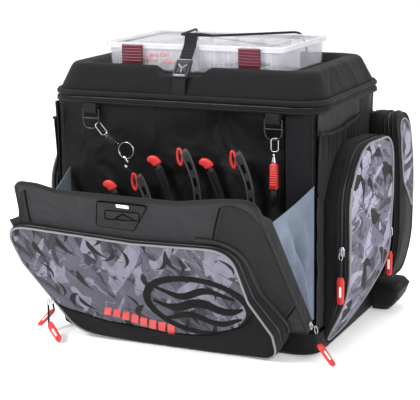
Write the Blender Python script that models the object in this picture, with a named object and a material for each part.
"""Soft-sided fishing tackle bag with a moulded lid, an open front flap and a clear utility box strapped on top.

Run with: blender --background --python part.py
Frame: +X to the bag's right, -Y to its front, +Z up. The origin is the middle of the base's underside.
Lengths below are in millimetres, and MM turns them into Blender's metres.
"""

import math

import bmesh
import bpy
from mathutils import Matrix, Vector

MM = 0.001
GAP = 0.4  # clearance between neighbouring pieces

# Main body: a tub of padded fabric that stands in a moulded tray.
BODY_X, BODY_Y = 257.0, 170.0  # half width and half depth
BODY_TOP = 436.0
BODY_CORNER = 22.0
BODY_WALL = 5.0
TRAY_WALL = 5.0
TRAY_FLOOR = 7.5
TRAY_TOP = 46.0
TRAY_X, TRAY_Y = BODY_X + TRAY_WALL + 0.8, BODY_Y + TRAY_WALL + 0.8

# Zip bands and the moulded lid.
BAND_X, BAND_Y = 269.0, 178.0
BAND_CORNER = 56.0
BAND_LOW = 436.4
BAND_SPLIT = 446.8  # the zip line between the two bands, and the height of the lid's hinge
BAND_TOP = 457.0
LID_RIM = 504.0
DISH_FLOOR = 489.0
LID_HINGE = (0.0, BAND_Y + 3.0, BAND_SPLIT)

# The utility box on the lid, of the standard 356 x 232 mm size.
BOX_X, BOX_Y = 178.0, 116.0
BOX_BASE = DISH_FLOOR + GAP
BOX_TOP = 541.0
BOX_LID_LOW = 531.4
BOX_HINGE = (0.0, BOX_Y + 1.0, 533.0)
LATCH_X = (-118.0, 114.0)
LATCH_WIDTH, LATCH_BASE, LATCH_TOP = 42.0, 501.5, 538.0
LATCH_HINGE_Y, LATCH_HINGE_Z = -BOX_Y - 2.4, 537.0

# Front flap: a shallow tray of fabric that leans out from its hinge line.
HINGE_Y, HINGE_Z = -180.0, 68.0
FLAP_OPEN = math.radians(40.0)
FLAP_DEPTH = 25.0
FLAP_WALL = 6.0
FLAP_PANEL = 7.0

# Hold-down strap: it bridges the notch in the lid's rim and rises in front of the box.
STRAP_HALF = 12.5
STRAP_FOOT = (-173.0, 458.0)
STRAP_BEND = (-168.5, 484.5)
STRAP_CORNER = (-121.0, 541.5)
STRAP_END = (-114.0, 562.0)
CORD_ANCHOR = (141.5, 507.0)  # the line through both ends of the elastic cord

FRONT_Y = -BODY_Y  # the panel that the tools stand against


def clear_scene():
    for old in list(bpy.data.objects):
        bpy.data.objects.remove(old)


def material(name, colour, roughness=0.6, metallic=0.0):
    """One Principled material per finish, shared by every piece that has it."""
    found = bpy.data.materials.get(name)
    if found:
        return found
    made = bpy.data.materials.new(name)
    made.use_nodes = True
    shader = made.node_tree.nodes["Principled BSDF"]
    shader.inputs["Base Color"].default_value = (*colour, 1.0)
    shader.inputs["Roughness"].default_value = roughness
    shader.inputs["Metallic"].default_value = metallic
    return made


def finishes():
    """The object's materials by name."""
    return {
        "black_nylon": material("black_nylon", (0.012, 0.012, 0.014), 0.75),
        "charcoal_fabric": material("charcoal_fabric", (0.045, 0.044, 0.052), 0.8),
        "camo_fabric": material("camo_fabric", (0.36, 0.34, 0.42), 0.75),
        "lining": material("lining", (0.27, 0.34, 0.45), 0.8),
        "moulded_shell": material("moulded_shell", (0.02, 0.02, 0.022), 0.55),
        "base_plastic": material("base_plastic", (0.012, 0.012, 0.013), 0.5),
        "clear_box": material("clear_box", (0.72, 0.72, 0.78), 0.15),
        "maroon_plastic": material("maroon_plastic", (0.16, 0.006, 0.03), 0.35),
        "webbing": material("webbing", (0.015, 0.015, 0.017), 0.8),
        "buckle_plastic": material("buckle_plastic", (0.03, 0.03, 0.033), 0.4),
        "steel": material("steel", (0.55, 0.55, 0.56), 0.25, 1.0),
        "red_rubber": material("red_rubber", (0.74, 0.04, 0.045), 0.5),
        "tool_grip": material("tool_grip", (0.03, 0.03, 0.034), 0.45),
        "lure_plastic": material("lure_plastic", (0.8, 0.2, 0.08), 0.4),
        "cord_black": material("cord_black", (0.012, 0.012, 0.013), 0.6),
        "patch_rubber": material("patch_rubber", (0.02, 0.02, 0.022), 0.5),
    }


# --- Outlines -------------------------------------------------------------


def rounded(corners, steps=4):
    """A closed outline through corners (a, b, radius), each turned into an arc."""
    points = []
    for i, (a, b, radius) in enumerate(corners):
        here = Vector((a, b))
        before = Vector(corners[i - 1][:2]) - here
        after = Vector(corners[(i + 1) % len(corners)][:2]) - here
        half = before.angle(after) / 2
        reach = min(radius / math.tan(half), 0.49 * before.length, 0.49 * after.length)
        start = here + before.normalized() * reach
        end = here + after.normalized() * reach
        for k in range(steps + 1):
            t = k / steps
            # A quadratic curve from start to end with the corner as its control point.
            points.append(start * (1 - t) ** 2 + here * 2 * t * (1 - t) + end * t**2)
    return [(p.x, p.y) for p in points]


def rounded_box(half_a, half_b, radius, steps=4):
    """A rectangle about the origin with round corners, anticlockwise."""
    centres = [(1, -1, -90), (1, 1, 0), (-1, 1, 90), (-1, -1, 180)]
    points = []
    for sa, sb, start in centres:
        for k in range(steps + 1):
            turn = math.radians(start + 90 * k / steps)
            a = sa * (half_a - radius) + radius * math.cos(turn)
            b = sb * (half_b - radius) + radius * math.sin(turn)
            points.append((a, b))
    return points


def inset(outline, distance):
    """The outline moved inwards along the average of each point's two edge normals."""
    area = sum(p[0] * q[1] - q[0] * p[1] for p, q in zip(outline, outline[1:] + outline[:1]))
    side = 1.0 if area > 0 else -1.0
    moved = []
    for i, point in enumerate(outline):
        here = Vector(point)
        before = (here - Vector(outline[i - 1])).normalized()
        after = (Vector(outline[(i + 1) % len(outline)]) - here).normalized()
        along = (before + after).normalized()
        normal = Vector((-along.y, along.x)) * side
        stretch = distance / max(0.5, along.dot(after))
        moved.append(tuple(here + normal * stretch))
    return moved


# --- Solids ---------------------------------------------------------------


def new_object(name, mesh, finish, smooth_angle=35.0):
    mesh.materials.append(finish)
    mesh.shade_smooth()
    mesh.set_sharp_from_angle(angle=math.radians(smooth_angle))
    made = bpy.data.objects.new(name, mesh)
    bpy.context.scene.collection.objects.link(made)
    return made


def from_bmesh(name, bm, finish):
    bmesh.ops.recalc_face_normals(bm, faces=bm.faces)
    mesh = bpy.data.meshes.new(name)
    bm.to_mesh(mesh)
    bm.free()
    return new_object(name, mesh, finish)


def loft(name, loops, finish, ring=False):
    """A closed solid through loops of points in mm. Its ends are capped, or meet when ring is true."""
    bm = bmesh.new()
    rows = [[bm.verts.new(Vector(p) * MM) for p in loop] for loop in loops]
    pairs = list(zip(rows, rows[1:]))
    if ring:
        pairs.append((rows[-1], rows[0]))
    for low, high in pairs:
        count = len(low)
        for i in range(count):
            j = (i + 1) % count
            bm.faces.new((low[i], low[j], high[j], high[i]))
    if not ring:
        bm.faces.new(rows[0])
        bm.faces.new(rows[-1])
    return from_bmesh(name, bm, finish)


def level(outline, z):
    """A flat outline laid at height z."""
    return [(a, b, z) for a, b in outline]


def tub(name, outline, low, high, wall, floor, finish):
    """An open-topped tub."""
    inner = inset(outline, wall)
    loops = [level(outline, low), level(outline, high), level(inner, high), level(inner, low + floor)]
    return loft(name, loops, finish)


def block(name, low, high, finish, bevel=0.0):
    """A box between two corners, its edges rounded by bevel."""
    low, high = Vector(low), Vector(high)
    bm = bmesh.new()
    bmesh.ops.create_cube(bm, size=1.0)
    size, middle = high - low, (low + high) / 2
    for vert in bm.verts:
        vert.co = Vector((vert.co.x * size.x, vert.co.y * size.y, vert.co.z * size.z)) + middle
        vert.co *= MM
    if bevel:
        bmesh.ops.bevel(bm, geom=bm.edges[:], offset=bevel * MM, segments=1, affect="EDGES")
    return from_bmesh(name, bm, finish)


def along_y(outline, y):
    """An outline of (x, z) points laid at depth y."""
    return [(a, y, b) for a, b in outline]


def along_x(outline, x):
    """An outline of (y, z) points laid at width x."""
    return [(x, a, b) for a, b in outline]


def wire(name, points, radius, finish, closed=False, sides=2):
    """A round wire or cord through points in mm: a curve with a bevel, and filled ends."""
    curve = bpy.data.curves.new(name, "CURVE")
    curve.dimensions = "3D"
    curve.bevel_depth = radius * MM
    curve.bevel_resolution = sides
    curve.render_resolution_u = 0
    curve.use_fill_caps = True
    spline = curve.splines.new("POLY")
    spline.points.add(len(points) - 1)
    for item, point in zip(spline.points, points):
        item.co = (*(Vector(point) * MM), 1.0)
    spline.use_cyclic_u = closed
    curve.materials.append(finish)
    made = bpy.data.objects.new(name, curve)
    bpy.context.scene.collection.objects.link(made)
    return made


def turned(name, profile, finish, start, end, sides=12):
    """A round piece from start to end in mm, with radii at shares of its length."""
    start, end = Vector(start), Vector(end)
    axis = (end - start).normalized()
    across = axis.cross(Vector((0, 1, 0))).normalized()
    other = axis.cross(across)
    loops = []
    for share, radius in profile:
        centre = start.lerp(end, share)
        loops.append(
            [
                centre + (across * math.cos(turn) + other * math.sin(turn)) * radius
                for turn in (2 * math.pi * k / sides for k in range(sides))
            ]
        )
    return loft(name, loops, finish)


def combine(target, helper, operation):
    """Cuts the helper's shape out of the target or joins it on, and keeps the helper as a hidden guide."""
    helper.hide_render = True
    helper.display_type = "WIRE"
    boolean = target.modifiers.new(helper.name, "BOOLEAN")
    boolean.operation = operation
    boolean.solver = "EXACT"
    boolean.object = helper


# --- The flap's own frame ----------------------------------------------------

FLAP_UP = Vector((0, -math.sin(FLAP_OPEN), math.cos(FLAP_OPEN)))
FLAP_OUT = Vector((0, -math.cos(FLAP_OPEN), -math.sin(FLAP_OPEN)))
FLAP_ORIGIN = Vector((0, HINGE_Y, HINGE_Z))


def on_flap(across, up, out):
    """A point in mm from its place across, up and out from the flap's hinge line."""
    return FLAP_ORIGIN + Vector((across, 0, 0)) + FLAP_UP * up + FLAP_OUT * out


def flap_level(outline, out):
    return [on_flap(a, b, out) for a, b in outline]


# --- Main body ------------------------------------------------------------


def make_body(look):
    """The fabric tub, its moulded tray and the lower half of the lid's zip."""
    tub("main_shell", rounded_box(BODY_X, BODY_Y, BODY_CORNER), TRAY_FLOOR + GAP + 0.1, BODY_TOP,
        BODY_WALL, 6.0, look["black_nylon"])
    levels = [(12, 38, 0), (6, 34, 3), (1.5, 28, 8), (0, 27, 18), (0, 27, TRAY_TOP), (TRAY_WALL, 22, TRAY_TOP),
              (TRAY_WALL, 22, TRAY_FLOOR)]
    loops = [level(rounded_box(TRAY_X - step, TRAY_Y - step, corner), z) for step, corner, z in levels]
    tray = loft("base_tray", loops, look["base_plastic"])
    for side, label in ((1, "right"), (-1, "left")):
        combine(tray, base_wing(f"{label}_wing_shape", side, look["base_plastic"]), "UNION")
    band("lower_zip_band", BAND_LOW, BAND_SPLIT - GAP, look["black_nylon"])


def band(name, low, high, finish):
    """One half of the zip band: a ring that stands proud of the body, with a rounded outer edge."""
    outer = rounded_box(BAND_X, BAND_Y, BAND_CORNER, 5)
    edge = inset(outer, 2.5)
    inner = inset(outer, 20.0)
    loops = [level(edge, low), level(outer, (low + high) / 2), level(edge, high), level(inner, high), level(inner, low)]
    return loft(name, loops, finish, ring=True)


def make_rear_compartment(look):
    """The padded compartment across the back."""
    front, back = BODY_Y + 6.6, 216.0
    outline = [(a, b + 202.0) for a, b in rounded_box(BODY_X - GAP, 190.0, 34.0)]
    puffed = inset(outline, 16.0)
    loops = [along_y(outline, front), along_y(outline, back - 12), along_y(puffed, back)]
    loft("rear_compartment", loops, look["black_nylon"])


def side_pocket(name, side, corners, reach_at, finish):
    """A stuffed zip pocket on the bag's side: upright walls, then a face that swells a little."""
    root = BODY_X + GAP
    outline = rounded(corners, 5)
    share = 1.0 if side > 0 else LEFT_FULLNESS

    def at(points, extra):
        return [(side * (root + max(3.0, reach_at(z) * share + extra)), y, z) for y, z in points]

    loops = [along_x(outline, side * root), at(outline, -5.0), at(inset(outline, 3.0), 0.0),
             at(inset(outline, 16.0), 2.0), at(inset(outline, 40.0), 4.0)]
    pocket = loft(name, loops, finish)
    # The moulded tray's wall stands between the pocket's foot and the body.
    low, high = (root - 5, -190, -10), (TRAY_X + GAP, 178, TRAY_TOP + GAP)
    xs = sorted((side * low[0], side * high[0]))
    foot = block(f"{name}_foot_cutter", (xs[0], low[1], low[2]), (xs[1], high[1], high[2]), finish)
    combine(pocket, foot, "DIFFERENCE")


def front_reach(z):
    """How far the front side pocket stands out: full above its knee, and tucked in at the foot."""
    share = max(0.0, min(1.0, (z - 20) / 130))
    return 48.6 * (0.08 + 0.92 * math.sin(share * math.pi / 2))


def rear_reach(z):
    """How far the rear side pocket stands out: widest at half height."""
    if z > 250:
        return 60 - 10 * ((z - 250) / 130) ** 2
    share = max(0.0, min(1.0, (z - 70) / 100))
    return 43 + 17 * math.sin(share * math.pi / 2)


LEFT_FULLNESS = 0.72  # the left pockets hold less, so they stand out less

FRONT_POCKET = [
    (-131, 16, 24), (-20, 18, 80), (100, 130, 80), (122, 250, 80),
    (116, 376, 60), (-66, 388, 95), (-131, 300, 70),
]
REAR_POCKET = [(128, 72, 14), (206, 72, 24), (216, 240, 60), (212, 388, 40), (128, 396, 30)]


def make_side_pockets(look):
    for side, label in ((1, "right"), (-1, "left")):
        side_pocket(f"{label}_front_pocket", side, FRONT_POCKET, front_reach, look["camo_fabric"])
        side_pocket(f"{label}_rear_pocket", side, REAR_POCKET, rear_reach, look["camo_fabric"])
        elastic = rounded(
            [(-166, 344, 6), (-140, 332, 6), (-136, 372, 12), (-70, 392, 8), (62, 391, 6), (62, 405, 6), (-166, 409, 6)], 2
        )
        root = BODY_X + GAP
        loft(f"{label}_elastic_pocket", [along_x(elastic, side * root), along_x(elastic, side * (root + 5.0))],
             look["charcoal_fabric"])


def base_wing(name, side, finish):
    """The moulded corner of the tray that flares out under the rear pocket."""
    root = TRAY_X - 2.0
    rows = []
    for z, reach, front, back in ((2, 32, 146, 186), (14, 44, 138, 200), (28, 53, 132, 209), (46, 59, 128, 216), (57, 51, 130, 210)):
        plan = rounded([(root, front, 3), (root + reach, front, 12), (root + reach, back, 16), (root, back, 3)], 3)
        rows.append([(side * x, y, z) for x, y in plan])
    return loft(name, rows, finish)


# --- Lid and utility box -----------------------------------------------------


def make_lid(look):
    """The upper zip band and the moulded lid, with a dish for the box and a notch for the strap."""
    band("upper_zip_band", BAND_SPLIT + GAP, BAND_TOP, look["black_nylon"])
    # Half width, half depth, corner radius and height of each level, from the underside round to the dish.
    levels = [
        (246, 155, 44, 483.5), (251, 160, 46, 476), (255, 164, 48, 466), (256.5, 165.5, 50, 457.4),
        (262, 171, 52, 457.4), (261, 170, 52, 466), (256, 165, 50, 480), (249, 158, 46, 491),
        (240, 149, 42, 500), (230, 140, 38, LID_RIM), (212, 134, 34, LID_RIM), (193, 121, 26, DISH_FLOOR),
    ]
    shell = loft("lid_shell", [level(rounded_box(a, b, r, 5), z) for a, b, r, z in levels], look["moulded_shell"])
    notch = [(-41, DISH_FLOOR), (32, DISH_FLOOR), (52, LID_RIM + 6), (-68, LID_RIM + 6)]
    cutter = loft("notch_cutter", [along_y(notch, -185), along_y(notch, -110)], look["moulded_shell"])
    combine(shell, cutter, "DIFFERENCE")


def make_utility_box(look):
    """A clear tray with fixed dividers, its lid and two snap latches."""
    base = rounded_box(BOX_X - 8, BOX_Y - 7, 10, 3)
    top = rounded_box(BOX_X - 5, BOX_Y - 5, 11, 3)
    wall = 2.0
    loops = [level(base, BOX_BASE), level(top, BOX_TOP - 4), level(inset(top, wall), BOX_TOP - 4),
             level(inset(base, wall), BOX_BASE + 2.4)]
    loft("box_tray", loops, look["clear_box"])
    rim = rounded_box(BOX_X, BOX_Y, 13, 3)
    inner = inset(rim, wall)
    loft("box_lid", [level(inner, BOX_TOP - wall), level(inner, BOX_LID_LOW), level(rim, BOX_LID_LOW), level(rim, BOX_TOP)],
         look["clear_box"])
    dividers(look["clear_box"])
    lures(look["lure_plastic"])
    for label, x in zip(("left", "right"), LATCH_X):
        outline = rounded([(x - LATCH_WIDTH / 2, LATCH_BASE, 3), (x + LATCH_WIDTH / 2, LATCH_BASE, 3),
                           (x + LATCH_WIDTH / 2, LATCH_TOP, 3), (x - LATCH_WIDTH / 2, LATCH_TOP, 3)], 2)
        loft(f"box_latch_{label}", [along_y(outline, LATCH_HINGE_Y - 1.6), along_y(outline, LATCH_HINGE_Y + 1.6)],
             look["maroon_plastic"])


def dividers(finish):
    """One long wall with short walls across both rows: the comb that splits the tray into bins."""
    half, thick, reach = 164.0, 0.9, 98.0
    spacing, low, high = 54.0, BOX_BASE + 2.9, BOX_TOP - 9
    walls = [(-2 + i) * spacing for i in range(5)]
    outline = [(-half, -thick)]
    for x in walls:
        outline += [(x - thick, -thick), (x - thick, -reach), (x + thick, -reach), (x + thick, -thick)]
    outline += [(half, -thick), (half, thick)]
    for x in reversed(walls):
        outline += [(x + thick, thick), (x + thick, reach), (x - thick, reach), (x - thick, thick)]
    outline.append((-half, thick))
    loft("box_dividers", [level(outline, low), level(outline, high)], finish)


def lures(finish):
    """A soft lure in the front left bin."""
    x, y, z = -81.0, -60.0, BOX_BASE + 13.0
    profile = [(0.0, 2.0), (0.15, 7.0), (0.45, 9.0), (0.8, 5.0), (1.0, 1.5)]
    turned("soft_lure", profile, finish, (x - 18, y - 26, z), (x + 16, y + 30, z), 10)


# --- Hold-down strap --------------------------------------------------------


def strap_point(along, lift=0.0):
    """A point (y, z) on the straight run of the strap, along mm up from its bend and lift mm out."""
    start, end = Vector(STRAP_BEND), Vector(STRAP_CORNER)
    run = (end - start).normalized()
    out = Vector((-run.y, run.x))
    return tuple(start + run * along + out * lift)


def strip(name, half, path, thickness, finish):
    """Webbing: a ribbon of even thickness that follows a path of (y, z) points."""
    front, back = [], []
    for i, point in enumerate(path):
        here = Vector(point)
        ahead = Vector(path[min(i + 1, len(path) - 1)]) - Vector(path[max(i - 1, 0)])
        normal = Vector((-ahead.y, ahead.x)).normalized() * thickness / 2
        front.append(tuple(here + normal))
        back.append(tuple(here - normal))
    outline = front + back[::-1]
    return loft(name, [along_x(outline, -half), along_x(outline, half)], finish)


def make_hold_down(look):
    """The strap, its side-release buckle and the elastic cord over the box."""
    strip("hold_down_lower_webbing", STRAP_HALF, [STRAP_FOOT, STRAP_BEND, strap_point(3.0)], 2.0, look["webbing"])
    half, rail, length = 15.0, 4.0, 31.0
    housing = [(-half, 4), (half, 4), (half, length), (half - rail, length), (half - rail, 10),
               (-half + rail, 10), (-half + rail, length), (-half, length)]
    buckle("female_buckle", housing, -3.6, 4.8, look["buckle_plastic"])
    # The male half: a bar with two sprung arms and a centre guide that lie between the housing's rails.
    clip = [(-15, 32), (-15, 42.5), (15, 42.5), (15, 32), (9.6, 31.4), (9.6, 14), (6.8, 12), (2.4, 20),
            (2.4, 12), (-2.4, 12), (-2.4, 20), (-6.8, 12), (-9.6, 14), (-9.6, 31.4)]
    buckle("male_buckle", clip, -2.4, 3.2, look["buckle_plastic"])
    strip("hold_down_upper_webbing", STRAP_HALF, [strap_point(43.2), STRAP_CORNER, STRAP_END], 2.0, look["webbing"])
    low_y, low_z = STRAP_END[0] + 4.5, STRAP_END[1] - 3.5
    over = BOX_TOP + 3.2
    left = [(-105, *CORD_ANCHOR), (-103, BOX_Y + 15, 530), (-99, BOX_Y + 3.4, over + 0.2), (-24, low_y, low_z - 0.8)]
    right = [(40, low_y, low_z - 0.8), (118, BOX_Y + 3.4, over + 0.2), (122, BOX_Y + 15, 530), (124, *CORD_ANCHOR)]
    wire("elastic_cord", bent(left + right, 22.0), 1.4, look["cord_black"])
    turned("cord_sleeve", [(0, 3.6), (0.5, 3.0), (0.9, 2.6), (1, 2.2)], look["cord_black"],
           (16.5, low_y - 5.4, low_z + 1.6), (40, low_y - 5.0, low_z + 0.4), 8)


def buckle(name, outline, low, high, finish):
    """A flat piece of the buckle, from an outline of (x, along the strap) points."""
    loops = [[(x, *strap_point(along, lift)) for x, along in outline] for lift in (low, high)]
    return loft(name, loops, finish)


def bent(points, radius, steps=5):
    """An open path in space whose inner corners are turned into curves."""
    points = [Vector(p) for p in points]
    path = [points[0]]
    for before, here, after in zip(points, points[1:], points[2:]):
        back, ahead = before - here, after - here
        start = here + back.normalized() * min(radius, 0.45 * back.length)
        end = here + ahead.normalized() * min(radius, 0.45 * ahead.length)
        for k in range(steps + 1):
            t = k / steps
            path.append(start * (1 - t) ** 2 + here * 2 * t * (1 - t) + end * t**2)
    path.append(points[-1])
    return path


# --- Front flap -------------------------------------------------------------

FLAP_OUTLINE = [
    (-257, 4, 8), (257, 4, 8), (257, 376, 84), (196, 371, 24), (113, 354, 40), (-106, 358, 24),
    (-138, 371, 20), (-178, 374, 18), (-201, 300, 30), (-257, 172, 60),
]
FLAP_POCKET_OUTLINE = [
    (-196, -2, 60), (-70, -14, 60), (80, -14, 60), (204, -8, 44), (209, 62, 40), (184, 150, 70),
    (182, 282, 44), (0, 275, 60), (-248, 292, 46), (-247, 190, 70),
]
PATCH_OUTLINE = [(-57, 279, 5), (13, 275, 5), (62, 346, 5), (-30, 347, 5)]


def make_flap(look):
    """The flap's tray, the stuffed pocket on its outside, its rubber patch and the gussets."""
    outline = rounded(FLAP_OUTLINE)
    inner = inset(outline, FLAP_WALL)
    rim = [on_flap(a, b, rim_depth(b)) for a, b in outline]
    inside = [on_flap(a, b, rim_depth(b)) for a, b in inner]
    loops = [flap_level(outline, FLAP_DEPTH), rim, inside, flap_level(inner, FLAP_DEPTH - FLAP_PANEL)]
    loft("flap_shell", loops, look["charcoal_fabric"])
    pocket = rounded(FLAP_POCKET_OUTLINE)

    def face(points, extra):
        """The pocket's face: it stands further out towards its foot."""
        return [on_flap(a, -22 + b * 0.976, 64 - 28 * b / 264 + extra) for a, b in points]

    back = [on_flap(a + 11, -22 + b * 0.976, FLAP_DEPTH + GAP) for a, b in pocket]
    loops = [back, face(pocket, -4.0), face(inset(pocket, 3), 0.0), face(inset(pocket, 20), 3.0),
             face(inset(pocket, 50), 6.0)]
    loft("flap_pocket", loops, look["camo_fabric"])
    patch = rounded(PATCH_OUTLINE, 2)
    front = FLAP_DEPTH + GAP
    loft("flap_patch", [flap_level(patch, front), flap_level(patch, front + 2.5)], look["patch_rubber"])
    gusset("flap_gusset_right", 254.8, 254.8, 290.0, look["lining"])
    gusset("flap_gusset_left", -228.0, -208.0, 236.0, look["lining"])


def rim_depth(up):
    """Where the rim's inner edge lies: full depth low down, and nearly flush with the panel at the top."""
    share = max(0.0, min(1.0, (up - 292) / 50))
    return (FLAP_DEPTH - FLAP_PANEL + 1.0) * share * share * (3 - 2 * share)


def gusset(name, at_body, at_flap, up, finish):
    """A triangle of lining between the body's front edge and the flap's rim."""
    corners = [
        Vector((at_body, FRONT_Y - 1.2, 311)),
        Vector((at_body, FRONT_Y - 1.2, 74)),
        on_flap(at_body, 6.0, -1.2),
        on_flap(at_flap, up, -1.2),
    ]
    thick = Vector((-1.2 if at_body > 0 else 1.2, 0, 0))
    loft(name, [corners, [c + thick for c in corners]], finish)


# --- What hangs and stands inside the flap ---------------------------------------

RING_X = {"left": -176.5, "right": 182.0}
RING_Y, RING_BAR_Z, RING_FOOT_Z = -177.0, 425.0, 389.0
RING_HALF, RING_WIRE = 16.0, 1.7


def make_rings(look):
    """A webbing loop and a D-ring under each end of the lid's front."""
    for label, x in RING_X.items():
        outer, inner = 4.4, 2.6
        loop_outer = rounded([(RING_Y + a * outer, z, 2) for a, z in ((-1, 417), (1, 417), (1, 435.8), (-1, 435.8))], 2)
        loop_inner = rounded([(RING_Y + a * inner, z, 1) for a, z in ((-1, 419), (1, 419), (1, 434), (-1, 434))], 2)
        loops = [along_x(loop_outer, x - 13), along_x(loop_outer, x + 13),
                 along_x(loop_inner, x + 13), along_x(loop_inner, x - 13)]
        loft(f"d_ring_tab_{label}", loops, look["webbing"], ring=True)
        corners = [(x - RING_HALF, RING_BAR_Z, 2.5), (x - RING_HALF, RING_FOOT_Z, 17), (x + RING_HALF, RING_FOOT_Z, 17),
                   (x + RING_HALF, RING_BAR_Z, 2.5)]
        path = [(a, RING_Y, b) for a, b in rounded(corners, 5)]
        wire(f"d_ring_{label}", path, RING_WIRE, look["steel"], closed=True, sides=1)


def link(name, top, foot, finish):
    """A long oval wire link between two (x, z) points, edge on to the D-ring that it hangs from."""
    half, radius = 3.8, 1.2
    top, foot = Vector(top), Vector(foot)
    run = (foot - top).normalized()
    path = []
    for centre, start in ((top, 0.0), (foot, math.pi)):
        for k in range(7):
            turn = start + math.pi * k / 6
            point = centre - run * half * math.sin(turn)
            path.append((point.x, RING_Y + half * math.cos(turn), point.y))
    return wire(name, path, radius, finish, closed=True, sides=1)


def make_lanyard(look):
    """The tool leash on the left ring: a link, a sprung coil, a split ring and a thin cord to the first tool."""
    y = -182.5
    link("lanyard_link", (-161.9, 396.4), (-150, 382.5), look["steel"])
    turned("lanyard_coil", [(0, 2), (0.12, 5), (0.3, 7), (0.75, 7), (0.9, 4), (1, 2)], look["steel"],
           (-142.5, y, 378), (-118.6, y, 364.2), 10)
    ring = [(-102.5 + 15 * math.cos(t), y, 353.5 + 15 * math.sin(t)) for t in (2 * math.pi * k / 20 for k in range(20))]
    wire("lanyard_split_ring", ring, 1.4, look["steel"], closed=True, sides=1)
    wire("lanyard_cord", bent([(-102.5, y, 336.2), (-104, y, 323), (-89, y - 1, 314)], 9.0, 4), 1.2,
         look["cord_black"], sides=1)


def make_line_cutter(look):
    """The snap and the red line cutter on the right ring."""
    x, y = 184.5, -181.0
    link("snap_link", (x, 388.8), (x, 373), look["steel"])
    turned("cutter_swivel", [(0, 2.0), (0.2, 3.6), (0.6, 3.6), (1, 2.2)], look["steel"], (x, y, 366), (x, y, 350.5), 10)
    red = rounded([(x - 8.5, 304, 3), (x + 8.5, 304, 3), (x + 7.5, 350, 6), (x - 7.5, 350, 6)], 2)
    body = loft("cutter_body", [along_y(red, y - 5.5), along_y(red, y + 5.0)], look["red_rubber"])
    grip = rounded([(x - 6, 275, 3), (x + 6, 275, 3), (x + 7.5, 306, 2), (x - 7.5, 306, 2)], 2)
    combine(body, loft("cutter_grip_shape", [along_y(grip, y - 5.0), along_y(grip, y + 4.6)], look["tool_grip"]), "UNION")


SOCKET_TOP = 240.0
TOOLS = {"a": (-98.0, -49.0), "b": (-6.0, 3.0), "c": (97.0, 5.0)}  # how far each tool is moved
SOCKETS = {"a": (-132.0, -30.0, 99.0), "b": (-14.0, 70.0, 151.0), "c": (88.0, 176.0, 153.0)}  # sides and floor


def make_tool_board(look):
    """The padded board on the front panel, with an open-topped sleeve for each tool."""
    front = FRONT_Y - 26.6
    board = block("tool_board", (-139, front, 86), (183, FRONT_Y - GAP, SOCKET_TOP), look["charcoal_fabric"])
    for label, (low, high, floor) in SOCKETS.items():
        cutter = block(f"socket_{label}_cutter", (low, front + 2.6, floor), (high, FRONT_Y - 3.4, SOCKET_TOP + 10),
                       look["charcoal_fabric"])
        combine(board, cutter, "DIFFERENCE")


def ribbon(name, path, low_y, high_y, finish):
    """A flat bar that follows a path of (x, z, half width) points."""
    left, right = [], []
    for i, (x, z, half) in enumerate(path):
        ahead = Vector(path[min(i + 1, len(path) - 1)][:2]) - Vector(path[max(i - 1, 0)][:2])
        normal = Vector((-ahead.y, ahead.x)).normalized() * half
        left.append((x + normal.x, z + normal.y))
        right.append((x - normal.x, z - normal.y))
    outline = left + right[::-1]
    return loft(name, [along_y(outline, low_y), along_y(outline, high_y)], finish)


def make_tools(look):
    """Three pliers with crossed halves: each half is a handle above the pivot and a jaw below it."""
    left_half = [(-53, 333, 3), (-47, 337, 7.5), (-37, 333, 9), (-29, 318, 7.5), (-16, 288, 6.5), (-6, 262, 6.5),
                 (20, 222, 8), (42, 196, 10), (50, 172, 6), (51, 152, 3)]
    right_half = [(10, 364, 3), (15, 360, 7.5), (22, 348, 8.5), (32, 328, 7.5), (40, 302, 7), (46, 270, 7), (50, 225, 8),
                  (42, 196, 10), (37, 172, 6), (38, 152, 3)]
    for label, (dx, dz) in TOOLS.items():
        for side, path, low, high in (("left", left_half, -185.0, -178.0), ("right", right_half, -192.4, -185.4)):
            moved = [(x + dx, z + dz, half) for x, z, half in path]
            ribbon(f"plier_{label}_{side}", moved, low, high, look["tool_grip"])


# --- Zip sliders and pulls -----------------------------------------------------


def slider(name, place, out, finish, run=(0, 0, 1)):
    """A zip slider that stands on the surface at place. out is the surface's normal, and run its zip's direction."""
    place, out = Vector(place), Vector(out).normalized()
    side = out.cross(Vector(run)).normalized()
    up = side.cross(out)
    shape = [(-5, -9), (5, -9), (5, 5), (2.5, 9), (-2.5, 9), (-5, 5)]
    loops = [[place + side * a + up * b + out * away for a, b in shape] for away in (GAP, 5.0)]
    loft(name, loops, finish)


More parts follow.
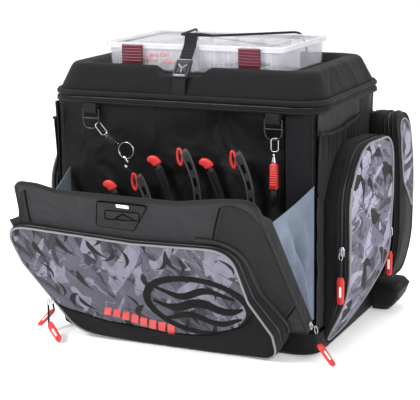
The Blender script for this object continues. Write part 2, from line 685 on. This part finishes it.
def pull(name, start, bend, end, face, finish):
    """A zip pull: a thin neck from start to bend and a flat rubber tab on to end. face is its flat side's normal."""
    start, bend, end = Vector(start), Vector(bend), Vector(end)
    tab = (end - bend).normalized()
    stations = [(start, 1.8), (bend, 1.8), (bend + tab * 3, 5.5), (bend + tab * 8, 7.0), (end - tab * 5, 6.4), (end, 3.0)]
    left, right = [], []
    for i, (point, half) in enumerate(stations):
        run = stations[min(i + 1, 5)][0] - stations[max(i - 1, 0)][0]
        side = run.cross(Vector(face)).normalized() * half
        left.append(point + side)
        right.append(point - side)
    run = end - start
    flat = (Vector(face) - run * Vector(face).dot(run) / run.length_squared).normalized() * 1.7
    outline = left + right[::-1]
    loft(name, [[p - flat for p in outline], [p + flat for p in outline]], finish)


def make_zips(look):
    """A slider and a pull for each zip. The flap's left slider has two pulls."""
    for side, label in ((1, "right"), (-1, "left")):
        share = 1.0 if side > 0 else LEFT_FULLNESS
        for where, x, y, z, tip in (("front", 35, -131.0, 190, 95), ("rear", 44, 127.4, 168, 80)):
            across = side * (BODY_X + GAP + x * share)
            slider(f"{label}_{where}_zip_slider", (across, y, z), (0, -1, 0), look["steel"])
            top = (across, y - 7.4, z)
            pull(f"{label}_{where}_zip_pull", top, (across, y - 7.4, tip + 51), (across, y - 7.4, tip), (0, -1, 0),
                 look["red_rubber"])
    slider("flap_right_zip_slider", (257, *on_flap(0, 14, 12)[1:]), (1, 0, 0), look["steel"], FLAP_UP)
    slider("flap_left_zip_slider", (-257, *on_flap(0, 14, 12)[1:]), (-1, 0, 0), look["steel"], FLAP_UP)
    pull("flap_right_zip_pull", (265, -191, 68), (272, -194, 38), (306, -209, 6), (0.55, -0.3, 0.78), look["red_rubber"])
    pull("flap_left_zip_pull", (-265, -208, 62), (-246, -240, 27), (-206, -268, 5), (-0.3, -0.8, 0.4), look["red_rubber"])
    pull("flap_left_zip_second_pull", (-265.5, -193, 56), (-262, -194, 38), (-271, -235, 17), (-0.7, 0, 0.7),
         look["red_rubber"])


def main():
    clear_scene()
    look = finishes()
    make_body(look)
    make_rear_compartment(look)
    make_side_pockets(look)
    make_lid(look)
    make_utility_box(look)
    make_hold_down(look)
    make_flap(look)
    make_rings(look)
    make_lanyard(look)
    make_line_cutter(look)
    make_tool_board(look)
    make_tools(look)
    make_zips(look)


main()
